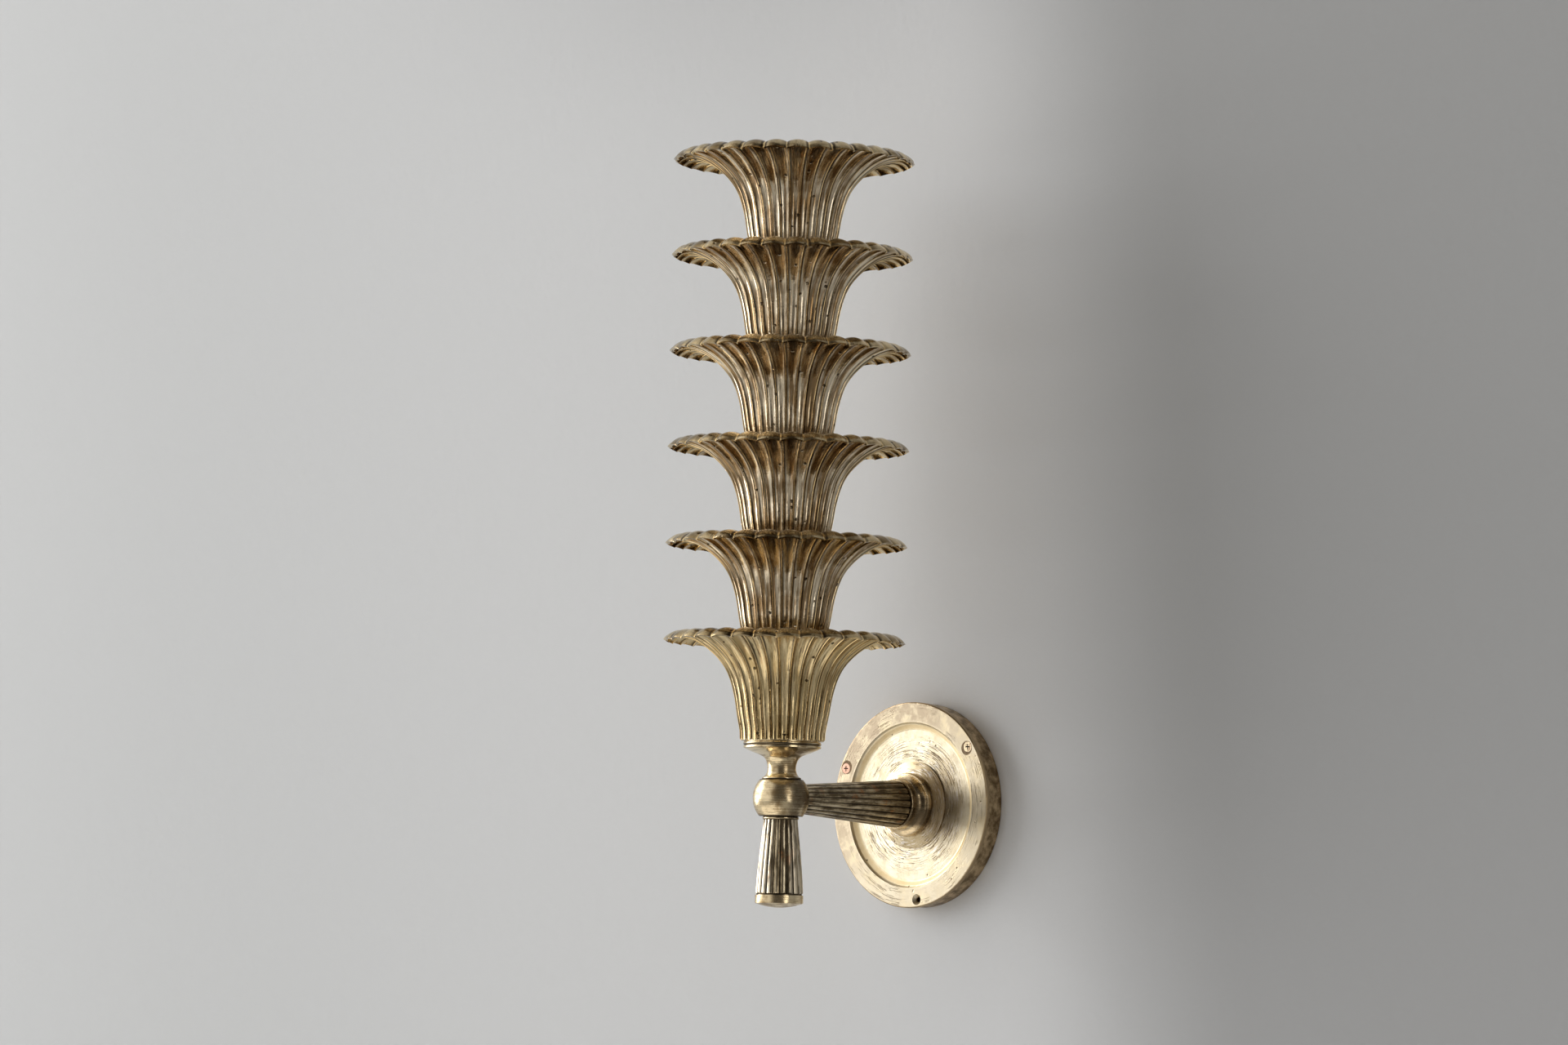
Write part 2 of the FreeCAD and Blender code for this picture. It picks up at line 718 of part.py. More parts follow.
def make_plate_screws():
    """Two cross-slotted screws hold the plate to the ring; the third hole is empty."""
    screws = []
    for point in hole_points(plate_face)[:2]:
        screw = screw_head(point, 0.0)
        screw = screw.fuse(Part.makeCylinder(screw_radius, screw_length, point, to_wall))
        for length, width in ((recess_length, recess_width), (recess_width, recess_length)):
            corner = point - Vector(length / 2, 0, width / 2)
            screw = screw.cut(Part.makeBox(length, recess_depth, width, corner))
        screws.append(screw.removeSplitter())
    save("plate_screws", Part.makeCompound(screws))


# ---- lamp and holder -----------------------------------------------------------------------------


def make_holder():
    """The small-cap lampholder that stands on the rod in the top shell, with its centre contact."""
    corners = [at(rod_bore, 0), at(holder_neck_radius, 0), at(holder_neck_radius, holder_neck_height),
               at(holder_radius, holder_neck_height + holder_radius - holder_neck_radius),
               at(holder_radius, holder_height), at(socket_radius, holder_height),
               at(socket_radius, holder_height - socket_depth), at(rod_bore, holder_height - socket_depth)]
    body = turned_corners(corners)
    body = body.cut(Part.makeCylinder(rod_radius, thread_grip))
    save("lampholder", body.translated(ball_centre + up * holder_base))
    contact = Part.makeCylinder(contact_radius, contact_height, ball_centre + up * socket_floor)
    plug = Part.makeCylinder(rod_bore, contact_seat, ball_centre + up * (socket_floor - contact_seat))
    save("holder_contact", contact.fuse(plug).removeSplitter())


def make_lamp():
    """The lamp: a small screw cap, modelled plain, and a round-ended glass."""
    cap_foot = socket_floor + contact_height + contact_gap
    cap_top = cap_foot + cap_length
    corners = [at(0, 0), at(cap_tip_radius, 0), at(cap_tip_radius, contact_height),
               at(cap_radius, contact_height + cap_slope), at(cap_radius, cap_length), at(0, cap_length)]
    save("lamp_cap", turned_corners(corners, ball_centre + up * cap_foot))
    shoulder = holder_top + glass_neck - cap_top
    straight = glass_length - glass_radius
    neck = cap_radius - glass_inset
    cheek = at(glass_radius, shoulder + glass_radius - neck)
    edges = chain([at(0, 0), at(neck, 0), at(neck, shoulder)])
    edges.append(round_corner(at(neck, shoulder), cheek))
    edges.append(line(cheek, at(glass_radius, shoulder + straight)))
    diagonal = glass_radius * far_share
    edges.append(arc(at(glass_radius, shoulder + straight), at(diagonal, shoulder + straight + diagonal),
                     at(0, shoulder + glass_length)))
    edges.append(line(at(0, shoulder + glass_length), at(0, 0)))
    save("lamp_glass", turned(edges, ball_centre + up * cap_top))


# ---- wiring and earth ----------------------------------------------------------------------------


def make_wiring():
    """Two leads from the holder down the rod, round the bend in the ball and out to the terminals."""
    lead_y = -lead_wall_gap
    for name, side in (("line_lead", -1), ("neutral_lead", 1)):
        offset = side * lead_spacing * 0.5
        points = [
            Vector(offset, -column_reach, holder_contact_foot),
            Vector(offset, -column_reach, 0),
            Vector(offset, lead_y, 0),
            Vector(offset, lead_y, block_place + lead_grip),
        ]
        save(name, lead_solid(points, [lead_bend, lead_back_bend]))


def make_terminal_block():
    """The two-way terminal block behind the plate, with a brass tube and a screw for each lead."""
    depth = block_back - field_back
    corner = Vector(-block_width * 0.5, field_back, block_place)
    block = Part.makeBox(block_width, depth, block_length, corner)
    brass = []
    screws = []
    for side in (-1, 1):
        offset = side * lead_spacing * 0.5
        foot = Vector(offset, -lead_wall_gap, block_place)
        block = block.cut(Part.makeCylinder(terminal_radius, block_length, foot, up))
        sleeve = tube(terminal_radius, lead_radius, block_length, foot)
        place = Vector(offset, block_back, block_place + terminal_screw_place)
        screw_hole = Part.makeCylinder(terminal_screw_radius, lead_wall_gap, place, -to_wall)
        block = block.cut(screw_hole)
        brass.append(sleeve.cut(screw_hole))
        screw_place = place - to_wall * terminal_screw_sink
        screws.append(Part.makeCylinder(terminal_screw_radius, terminal_screw_length, screw_place, -to_wall))
    save("terminal_block", block)
    save("terminal_sleeves", Part.makeCompound(brass))
    save("terminal_screws", Part.makeCompound(screws))


def make_earth():
    """The earth stud on the plate's back, with its nut."""
    boss_top = field_back + earth_boss_height
    place = Vector(0, boss_top, -earth_place)
    save("earth_nut", hex_nut(earth_nut_across, earth_radius, earth_nut_height, place, to_wall))
    length = earth_nut_height + earth_stud_stand
    save("earth_stud", Part.makeCylinder(earth_radius, length, place, to_wall))


make_shells()
make_rods_and_stack()
make_stem()
make_ball()
make_finial()
make_end_cap()
make_arm()
make_collar()
make_plate()
make_ring()
make_plate_screws()
make_holder()
make_lamp()
make_wiring()
make_terminal_block()
make_earth()
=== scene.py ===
import math

import bpy
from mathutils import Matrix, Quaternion, Vector


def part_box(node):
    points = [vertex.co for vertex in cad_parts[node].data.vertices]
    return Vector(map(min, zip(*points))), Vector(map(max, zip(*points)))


# Looks of the shell wall sconce. Metres, +Z up, the wall is the plane y = 0 and the column stands at -Y.

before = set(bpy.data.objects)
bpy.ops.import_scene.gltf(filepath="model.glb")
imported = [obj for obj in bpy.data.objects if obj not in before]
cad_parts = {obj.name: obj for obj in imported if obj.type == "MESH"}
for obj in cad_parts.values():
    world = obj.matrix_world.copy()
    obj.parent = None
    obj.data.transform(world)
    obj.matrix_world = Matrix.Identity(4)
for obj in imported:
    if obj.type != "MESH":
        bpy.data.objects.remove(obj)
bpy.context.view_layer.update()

# ---- the frame's own places ----------------------------------------------------------------------
ball_low, ball_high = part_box("ball_joint")
column_x = 0.5 * (ball_low[0] + ball_high[0])
column_y = ball_low[1] + 0.5 * (ball_high[0] - ball_low[0])
shell_names = sorted(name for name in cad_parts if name.startswith("shell_tier_"))
spacer_names = sorted(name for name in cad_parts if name.startswith("shell_spacer_"))
shell_base = {name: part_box(name)[0][2] for name in shell_names}
plate_low, plate_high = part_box("wall_plate")
plate_radius = 0.5 * (plate_high[0] - plate_low[0])
screw_low, screw_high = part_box("plate_screws")
screw_shadow_radius = 0.0042             # radius of the painted shadow that each screw stands in
# A painted shadow's middle is its radius in from the screws' box, so it stands 0.8 mm in from the head's own
# middle.
screw_shadow_places = ((screw_low[0] + screw_shadow_radius, screw_low[2] + screw_shadow_radius),
                (screw_high[0] - screw_shadow_radius, screw_high[2] - screw_shadow_radius))
flutes = 32
reeds = 20

# ---- the photograph's camera ---------------------------------------------------------------------
image_width = 1920
image_height = 1280
sensor_width = 36.0
lens = 140.6
camera_distance = 3.9
camera_azimuth = 43.4
camera_drop = 0.12               # the camera stands this far below the middle of the ball
camera_reach = 50.0
ball_pixel = (956.5, 977.5)
camera_roll = 1.2                # degrees; the photograph leans the column's top to the right
right_x, right_y = 0.73, 0.69    # the photograph's right, in plan

# ---- the room ------------------------------------------------------------------------------------
wall_gap = 0.0006                # the backdrop wall stands this far behind the plate's ring
stage_reach = 3.5                # half the width of the wall and of the floor
wall_top = 2.5
floor_level = -0.80
column_middle = 0.17             # the height that the lamps look at


def make_camera():
    """The camera at the photograph's angle, turned so that the ball falls on its pixel."""
    ball = Vector((column_x, column_y, 0.0))
    turn = math.radians(camera_azimuth)
    place = ball + Vector((math.sin(turn), -math.cos(turn), 0.0)) * camera_distance
    place.z -= camera_drop
    data = bpy.data.cameras.new("camera")
    data.lens = lens
    data.sensor_width = sensor_width
    data.clip_end = camera_reach
    camera = bpy.data.objects.new("camera", data)
    bpy.context.scene.collection.objects.link(camera)
    focal = lens / sensor_width * image_width
    roll = math.radians(camera_roll)
    across = (ball_pixel[0] - image_width / 2) / focal
    down = (ball_pixel[1] - image_height / 2) / focal
    seen_x = across * math.cos(roll) + down * math.sin(roll)
    seen_y = -down * math.cos(roll) + across * math.sin(roll)
    at_ball = (ball - place).to_track_quat("-Z", "Y")
    pitch = Quaternion((1, 0, 0), -math.atan(seen_y))
    yaw = Quaternion((0, 1, 0), math.atan(seen_x))
    camera.rotation_mode = "QUATERNION"
    camera.rotation_quaternion = at_ball @ pitch @ yaw @ Quaternion((0, 0, 1), roll)
    camera.location = place
    bpy.context.scene.camera = camera


# ---- node graphs ---------------------------------------------------------------------------------
# A mix node's sockets go by number: 0 is its share, 4 and 5 its vectors, 6 and 7 its colours.


class Graph:
    """A material's node graph, with short calls that return sockets."""

    dot_chance = (0.86, 0.92)    # a cell holds a dot where its random number is above these

    def __init__(self, name):
        self.material = bpy.data.materials.new(name)
        self.material.use_nodes = True
        self.tree = self.material.node_tree
        self.tree.nodes.clear()
        self.output = self.node("ShaderNodeOutputMaterial")
        self.shader = self.node("ShaderNodeBsdfPrincipled")
        self.feed(self.output.inputs["Surface"], self.shader.outputs[0])

    def node(self, kind, **settings):
        item = self.tree.nodes.new(kind)
        for key, value in settings.items():
            setattr(item, key, value)
        return item

    def feed(self, socket, value):
        """Link a socket to a socket, or set its value."""
        if isinstance(value, bpy.types.NodeSocket):
            self.tree.links.new(value, socket)
        elif isinstance(value, tuple) and len(value) == 3 and socket.type == "RGBA":
            socket.default_value = (value[0], value[1], value[2], 1.0)
        else:
            socket.default_value = value

    def set(self, **values):
        """Set or link the shader's sockets; spaces in their names are written as underscores."""
        for key, value in values.items():
            self.feed(self.shader.inputs[key.replace("_", " ")], value)

    # ---- sums ----

    def math(self, operation, first, second=0.0):
        item = self.node("ShaderNodeMath", operation=operation)
        self.feed(item.inputs[0], first)
        self.feed(item.inputs[1], second)
        return item.outputs[0]

    def plus(self, first, second):
        return self.math("ADD", first, second)

    def minus(self, first, second):
        return self.math("SUBTRACT", first, second)

    def times(self, first, second):
        return self.math("MULTIPLY", first, second)

    def over(self, first, second):
        return self.math("DIVIDE", first, second)

    def rest(self, share):
        """What a share leaves of 1."""
        return self.minus(1.0, share)

    def away(self, first, second):
        """How far apart two values are."""
        return self.math("ABSOLUTE", self.minus(first, second))

    def length(self, first, second):
        return self.math("SQRT", self.plus(self.times(first, first), self.times(second, second)))

    def polar(self, first, second):
        """Radius, cosine and sine of a place on a plane."""
        radius = self.length(first, second)
        return radius, self.over(first, radius), self.over(second, radius)

    def lobes(self, first, second, count):
        """Where a place is in its lobe (0 in the middle, 0.5 at the border), and the lobe's number."""
        phase = self.times(self.math("ARCTAN2", second, first), count / (2 * math.pi))
        number = self.math("ROUND", phase)
        return self.away(phase, number), number

    def step(self, value, low, high):
        """0 at low, 1 at high, smooth between."""
        item = self.node("ShaderNodeMapRange", interpolation_type="SMOOTHSTEP")
        self.feed(item.inputs["Value"], value)
        item.inputs["From Min"].default_value = low
        item.inputs["From Max"].default_value = high
        return item.outputs["Result"]

    def band(self, value, low, low_full, high_full, high):
        """1 from low_full to high_full, 0 below low and above high, smooth between."""
        return self.times(self.step(value, low, low_full), self.rest(self.step(value, high_full, high)))

    def span(self, value, low, high, to_low, to_high):
        """Linear from one range to another, clamped."""
        item = self.node("ShaderNodeMapRange")
        self.feed(item.inputs["Value"], value)
        item.inputs["From Min"].default_value = low
        item.inputs["From Max"].default_value = high
        item.inputs["To Min"].default_value = to_low
        item.inputs["To Max"].default_value = to_high
        return item.outputs["Result"]

    # ---- places and colours ----

    def position(self):
        return self.node("ShaderNodeTexCoord").outputs["Object"]

    def parts(self, vector, axes="XYZ"):
        """The named coordinates of a vector."""
        item = self.node("ShaderNodeSeparateXYZ")
        self.feed(item.inputs[0], vector)
        return [item.outputs[axis] for axis in axes]

    def join(self, x, y, z):
        item = self.node("ShaderNodeCombineXYZ")
        for socket, value in zip(item.inputs, (x, y, z)):
            self.feed(socket, value)
        return item.outputs[0]

    def to_right(self, x, y):
        """How far to the photograph's right a place in plan is."""
        return self.plus(self.times(x, right_x), self.times(y, right_y))

    def mix(self, share, first, second):
        """Colour from first to second as share goes from 0 to 1."""
        item = self.node("ShaderNodeMix", data_type="RGBA")
        self.feed(item.inputs[0], share)
        self.feed(item.inputs[6], first)
        self.feed(item.inputs[7], second)
        return item.outputs[2]

    def stain(self, colour, overlay_colour, mask, most):
        """The colour with the overlay colour laid over it where the mask is 1, by the share that is given as
        the most; it lays marks of the metal and painted light and shade alike.
        """
        return self.mix(self.times(mask, most), colour, overlay_colour)

    # ---- patterns ----

    def noise(self, vector, scale, detail=3.0, rough=0.6):
        item = self.node("ShaderNodeTexNoise")
        self.feed(item.inputs["Vector"], vector)
        item.inputs["Scale"].default_value = scale
        item.inputs["Detail"].default_value = detail
        item.inputs["Roughness"].default_value = rough
        return item.outputs["Fac"]

    def streaks(self, first, second, run, around, along, shift=0.0, detail=3.0, rough=0.6):
        """Uneven noise: around is its scale on first and second, along is its scale on run."""
        place = self.join(self.times(first, around), self.times(second, around),
                          self.plus(self.times(run, along), shift))
        return self.noise(place, 1.0, detail, rough)

    def dots(self, place, scale, core, edge):
        """Scattered round dots, full up to core and gone at edge, in about one cell of nine."""
        cells = self.node("ShaderNodeTexVoronoi")
        self.feed(cells.inputs["Vector"], place)
        cells.inputs["Scale"].default_value = scale
        pick = self.node("ShaderNodeSeparateColor")
        self.feed(pick.inputs[0], cells.outputs["Color"])
        dot = self.rest(self.step(cells.outputs["Distance"], core, edge))
        return self.times(dot, self.step(pick.outputs[0], *self.dot_chance))

    def bump(self, height, distance, strength, normal=None):
        item = self.node("ShaderNodeBump")
        self.feed(item.inputs["Height"], height)
        item.inputs["Distance"].default_value = distance
        item.inputs["Strength"].default_value = strength
        if normal is not None:
            self.feed(item.inputs["Normal"], normal)
        return item.outputs[0]


def dress(names, material):
    """Give CAD nodes a material in every slot."""
    for name in names:
        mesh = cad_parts[name].data
        mesh.materials.clear()
        mesh.materials.append(material)


# ---- materials -----------------------------------------------------------------------------------
# Colours are linear red, green and blue, and lengths are in metres.


def shell_metal(name, base, seed, silver, brown):
    """Silvered brass with brown patina in the flutes, dark lines beside the ridges that are partly grime and
    partly painted shade, and gold where the ridges are worn.
    """
    rust_colour = (0.46, 0.27, 0.11)
    soot_colour = (0.07, 0.046, 0.024)
    lip_dark, lip_light = (0.26, 0.19, 0.095), (0.68, 0.54, 0.31)
    dirt_and_shade_colour = (0.06, 0.038, 0.018)
    gold = (0.93, 0.70, 0.36)
    pit_colour = (0.035, 0.024, 0.013)
    lip_radii = (0.0625, 0.067)          # where the rolled lip's own tone begins and is full
    beside_ridge = (0.30, 0.40, 0.45, 0.472)     # shares of a flute: 0 is its middle, 0.5 the ridge's top
    ridge = (0.45, 0.475)
    flare_share = 0.8                    # share of the radius in the run along a flute
    seed_shift = 7.3                     # sets the shells' streaks apart

    g = Graph(name)
    place = g.position()
    x, y, z = g.parts(place)
    x = g.minus(x, column_x)
    y = g.minus(y, column_y)
    radius, cosine, sine = g.polar(x, y)
    share, number = g.lobes(x, y, flutes)
    run = g.plus(g.minus(z, base), g.times(radius, flare_share))

    def streaks(around, along, rough):
        return g.streaks(cosine, sine, run, around, along, seed * seed_shift, 5.0, rough)

    streak = streaks(15.0, 22.0, 0.66)
    thin = streaks(48.0, 46.0, 0.6)
    blotch = g.noise(place, 42.0 + seed, 5.0, 0.62)
    fine = g.noise(place, 520.0)
    each = g.node("ShaderNodeTexWhiteNoise", noise_dimensions="3D")
    g.feed(each.inputs["Vector"], g.join(number, seed, 0.0))

    tone = g.plus(g.times(streak, 0.75), g.times(blotch, 0.45))
    tone = g.plus(tone, g.times(each.outputs["Value"], 0.10))
    colour = g.mix(g.step(tone, 0.56, 0.74), brown, silver)
    colour = g.stain(colour, rust_colour, g.step(streaks(21.0, 34.0, 0.6), 0.54, 0.66), 0.5)
    soot = g.times(g.step(thin, 0.52, 0.62), g.step(blotch, 0.42, 0.62))
    colour = g.stain(colour, soot_colour, soot, 0.85)
    lip_tone = g.mix(g.step(blotch, 0.40, 0.58), lip_dark, lip_light)
    colour = g.stain(colour, lip_tone, g.step(radius, *lip_radii), 0.85)
    # Dark lines beside each ridge: partly grime, partly painted shade of the channel walls.
    dirt_and_shade = g.times(g.band(share, *beside_ridge), g.step(streak, 0.40, 0.58))
    colour = g.stain(colour, dirt_and_shade_colour, dirt_and_shade, 0.9)
    colour = g.mix(g.times(g.step(share, *ridge), g.step(thin, 0.30, 0.48)), colour, gold)
    pit = g.dots(place, 260.0, 0.12, 0.32)
    colour = g.stain(colour, pit_colour, pit, 0.9)

    rough = g.span(g.plus(blotch, g.times(fine, 0.4)), 0.5, 0.95, 0.13, 0.28)
    rough = g.plus(rough, g.times(soot, 0.2))
    hollow = g.math("POWER", g.times(share, 2.0), 3.0)
    normal = g.bump(hollow, 0.0008, 1.0)
    normal = g.bump(g.noise(place, 150.0, 2.0, 0.5), 0.0004, 0.5, normal)
    normal = g.bump(streak, 0.00025, 0.5, normal)
    normal = g.bump(fine, 0.00008, 0.5, normal)
    normal = g.bump(g.rest(pit), 0.0005, 0.9, normal)
    g.set(Base_Color=colour, Roughness=rough, Normal=normal, Metallic=1.0)
    return g.material


def turned_brass(name, light, dark, low, high, creases, seed=0.0):
    """Brushed turned brass with brown patches, short dark scratches, grime and painted shade in creases at
    given heights, and painted shade on the right side of the ball.
    """
    ball_shade_colour = (0.12, 0.088, 0.052)
    scratch_colour = (0.07, 0.05, 0.028)
    dirt_and_shade_colour = (0.05, 0.033, 0.018)
    ball_heights = (0.0125, 0.0155)      # where the painted shade on the ball's right side fades out
    ball_shade_start, ball_shade_full = 0.001, 0.010     # from the column's axis to the photograph's right
    crease_widths = (0.0003, 0.0011)

    g = Graph(name)
    place = g.position()
    x, y, z = g.parts(place)
    rings = g.streaks(x, y, z, 30.0, 2600.0, rough=0.55)
    patch = g.noise(place, 62.0 + seed, 5.0, 0.64)
    fine = g.noise(place, 700.0)
    tone = g.plus(patch, g.times(g.minus(rings, 0.5), 0.45))
    colour = g.mix(g.step(tone, low, high), dark, light)
    # Painted shade in patches on the right side of the ball.
    on_ball = g.rest(g.step(g.away(z, 0.0), *ball_heights))
    on_right = g.step(g.to_right(x, g.minus(y, column_y)), ball_shade_start, ball_shade_full)
    ball_right_shade = g.times(on_right, g.times(on_ball, g.step(tone, 0.75, 0.45)))
    colour = g.stain(colour, ball_shade_colour, ball_right_shade, 0.9)
    scratch = g.times(g.step(rings, 0.60, 0.66), g.step(patch, 0.46, 0.58))
    colour = g.stain(colour, scratch_colour, scratch, 0.75)
    # Dark lines at the creases and joints: partly grime, partly painted shade.
    for crease in creases:
        dirt_and_shade = g.rest(g.step(g.away(z, crease), *crease_widths))
        colour = g.stain(colour, dirt_and_shade_colour, dirt_and_shade, 0.9)

    rough = g.span(tone, low, high, 0.38, 0.17)
    normal = g.bump(rings, 0.00005, 0.7)
    normal = g.bump(patch, 0.0003, 0.4, normal)
    normal = g.bump(fine, 0.00005, 0.4, normal)
    g.set(Base_Color=colour, Roughness=rough, Normal=normal, Metallic=1.0)
    return g.material


def reeded_bronze(name, along, wear):
    """Dark bronze reeds with worn crests and, on the finial, painted highlights down its left and right
    flanks; along is the axis that the reeds run on.
    """
    bronze_dark, bronze_light = (0.12, 0.09, 0.052), (0.44, 0.355, 0.225)
    rust_colour = (0.38, 0.17, 0.07)
    crest_colour = (0.86, 0.75, 0.54)
    flank_highlight_colour = (0.92, 0.83, 0.66)
    valley_colour = (0.02, 0.014, 0.008)
    crest = (0.04, 0.24)                 # shares of a reed: 0 is its crest, 0.5 the valley
    valley = (0.33, 0.46)
    highlight_left, highlight_right = (-0.003, -0.009), (0.004, 0.010)     # from the finial's axis

    g = Graph(name)
    place = g.position()
    x, y, z = g.parts(place)
    side = g.minus(x, column_x)
    if along == "Z":
        front, run = g.minus(y, column_y), z
    else:
        front, run = z, y
    share = g.lobes(side, front, reeds)[0]
    streak = g.streaks(front, side, run, 420.0, 60.0, detail=4.0, rough=0.62)
    blotch = g.noise(place, 130.0, 5.0, 0.65)
    fine = g.noise(place, 900.0)
    tone = g.plus(g.times(streak, 0.7), g.times(blotch, 0.5))
    colour = g.mix(g.step(tone, 0.50, 0.76), bronze_dark, bronze_light)
    colour = g.stain(colour, rust_colour, g.step(g.noise(place, 95.0), 0.58, 0.68), 0.6)
    worn = g.times(g.rest(g.step(share, *crest)), g.step(streak, 0.42, 0.64))
    colour = g.stain(colour, crest_colour, worn, wear)
    # Painted highlights down the finial's left flank and, weaker, down its right flank.
    if along == "Z":
        across = g.to_right(side, front)
        sides = g.plus(g.step(across, *highlight_left), g.times(g.step(across, *highlight_right), 0.6))
        colour = g.stain(colour, flank_highlight_colour, g.times(sides, g.step(streak, 0.34, 0.50)), 0.9)
    colour = g.stain(colour, valley_colour, g.step(share, *valley), 0.9)

    rough = g.span(tone, 0.45, 0.80, 0.42, 0.22)
    normal = g.bump(blotch, 0.0002, 0.6)
    normal = g.bump(fine, 0.00006, 0.5, normal)
    g.set(Base_Color=colour, Roughness=rough, Normal=normal, Metallic=1.0)
    return g.material


def plate_brass(name, light, dark, scored):
    """Pale polished brass with turning scratches round the collar, rubbed patches and pits on the rim, and
    painted shade on the step, right of the collar and round the screw heads.
    """
    cut_colour = (0.15, 0.105, 0.06)
    bright_cut = (0.95, 0.92, 0.90)
    tarnish_colour = (0.38, 0.30, 0.21)
    groove_colour = (0.80, 0.62, 0.33)
    shade_colour = (0.24, 0.175, 0.10)
    spot_colour = (0.12, 0.085, 0.045)
    screw_shadow_colour = (0.10, 0.06, 0.03)
    edge_colour = (0.36, 0.25, 0.13)
    scored_radii = (0.036, 0.050)        # where the scratches round the collar fade out
    shade_radii = (0.030, 0.050)
    groove_radii = (0.0485, 0.0505, 0.052, 0.0535)       # the step from the field to the rim
    rim_cut_radii = (0.052, 0.055)
    tarnish_radii = (0.052, 0.056)
    screw_shadow_fade = 0.0008
    edge_start, edge_full = 0.0012, 0.0003               # in from the plate's own edge

    g = Graph(name)
    place = g.position()
    x, z = g.parts(place, "XZ")
    radius, cosine, sine = g.polar(x, z)
    slow = g.noise(place, 26.0, 4.0)
    blotch = g.noise(place, 90.0, 5.0, 0.65)

    def rings(across, around, shift):
        return g.streaks(cosine, sine, radius, around, across, shift)

    turned = rings(1500.0, 2.0, 0.0)
    colour = g.mix(g.step(blotch, 0.30, 0.70), dark, light)
    near_collar = g.times(g.rest(g.step(radius, *scored_radii)), g.step(slow, 0.36, 0.50))
    on_rim = g.times(g.step(radius, *rim_cut_radii), g.step(slow, 0.44, 0.56))
    cut_places = g.math("MAXIMUM", near_collar, g.times(on_rim, 0.8))
    cuts = g.times(g.times(g.step(rings(1250.0, 3.2, 4.0), 0.55, 0.61), cut_places), scored)
    colour = g.mix(cuts, colour, cut_colour)
    bright = g.times(g.step(rings(1100.0, 4.0, 9.0), 0.54, 0.62), near_collar)
    colour = g.stain(colour, bright_cut, bright, 0.8)
    upper_left = g.step(g.minus(sine, cosine), -0.4, 0.9)
    tarnish = g.times(g.step(radius, *tarnish_radii), g.step(blotch, 0.32, 0.56))
    tarnish = g.times(tarnish, g.plus(g.times(upper_left, 0.52), 0.38))
    colour = g.mix(tarnish, colour, tarnish_colour)
    # The step's sloped wall gets a darker gold band of painted shade, and its normal is partly turned to
    # face straight out from the wall.
    groove = g.band(radius, *groove_radii)
    colour = g.stain(colour, groove_colour, groove, 0.5)
    shade = g.times(g.step(cosine, 0.35, 0.90), g.rest(g.step(radius, *shade_radii)))
    colour = g.stain(colour, shade_colour, shade, 0.75)
    spot = g.dots(place, 210.0, 0.06, 0.20)
    colour = g.stain(colour, spot_colour, spot, 0.85)
    # Painted contact shadow round each screw head.
    for place_x, place_z in screw_shadow_places:
        away = g.length(g.minus(x, place_x), g.minus(z, place_z))
        stain = g.rest(g.step(away, screw_shadow_radius, screw_shadow_radius + screw_shadow_fade))
        colour = g.stain(colour, screw_shadow_colour, stain, 0.9)
    edge = g.step(radius, plate_radius - edge_start, plate_radius - edge_full)
    colour = g.stain(colour, edge_colour, edge, 0.8)

    rough = g.span(g.plus(blotch, g.times(turned, 0.5)), 0.5, 1.0, 0.28, 0.44)
    rough = g.math("MAXIMUM", rough, g.times(groove, 0.62))
    normal = g.bump(turned, 0.00006, 0.7)
    normal = g.bump(slow, 0.0012, 0.5, normal)
    normal = g.bump(g.rest(cuts), 0.0003, 0.8, normal)
    normal = g.bump(g.rest(spot), 0.0003, 0.8, normal)
    soften = g.node("ShaderNodeMix", data_type="VECTOR")
    g.feed(soften.inputs[0], g.times(groove, 0.6))
    g.feed(soften.inputs[4], normal)
    soften.inputs[5].default_value = (0.0, -1.0, 0.0)
    g.set(Base_Color=colour, Roughness=rough, Normal=soften.outputs[1], Metallic=1.0)
    return g.material


def screw_metal(name):
    """A copper screw head on the left and a brass one on the right; below the heads' faces all is dark."""
    copper, brass = (0.66, 0.40, 0.30), (0.74, 0.62, 0.42)
    worn_colour = (0.30, 0.18, 0.11)
    slot_colour = (0.02, 0.013, 0.009)
    middle = (-0.02, 0.02)               # between the two screws
    slot_start, slot_full = 0.0001, 0.0004

    g = Graph(name)
    place = g.position()
    x, y = g.parts(place, "XY")
    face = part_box("plate_screws")[0][1]
    grain = g.noise(place, 500.0, 4.0)
    head = g.mix(g.step(x, *middle), copper, brass)
    head = g.mix(g.step(grain, 0.45, 0.70), head, worn_colour)
    colour = g.mix(g.step(y, face + slot_start, face + slot_full), head, slot_colour)
    g.set(Base_Color=colour, Roughness=g.span(grain, 0.3, 0.7, 0.42, 0.28),
          Normal=g.bump(grain, 0.00006, 0.6), Metallic=1.0)
    return g.material


def plain_kind(name, light, dark, scale, rough, metal, bump=0.00004, **extra):
    """A simple two-tone surface with fine grain, for hidden and small pieces."""
    g = Graph(name)
    grain = g.noise(g.position(), scale, 4.0)
    colour = g.mix(g.step(grain, 0.35, 0.68), dark, light)
    g.set(Base_Color=colour, Roughness=g.span(grain, 0.3, 0.7, rough * 1.2, rough * 0.8),
          Normal=g.bump(grain, bump, 0.5), Metallic=metal, **extra)
    return g.material


# ---- which piece wears what ----------------------------------------------------------------------


def dress_shells():
    """Silver over brown on the upper shells; the lowest is yellower and more even."""
    silver, brown = (0.93, 0.82, 0.63), (0.29, 0.195, 0.10)
    lowest_light, lowest_dark = (0.80, 0.64, 0.37), (0.44, 0.325, 0.155)
    for number, name in enumerate(shell_names, 1):
        light, dark = (lowest_light, lowest_dark) if number == 1 else (silver, brown)
        metal = shell_metal("shell_metal_" + str(number), shell_base[name], float(number), light, dark)
        dress([name], metal)


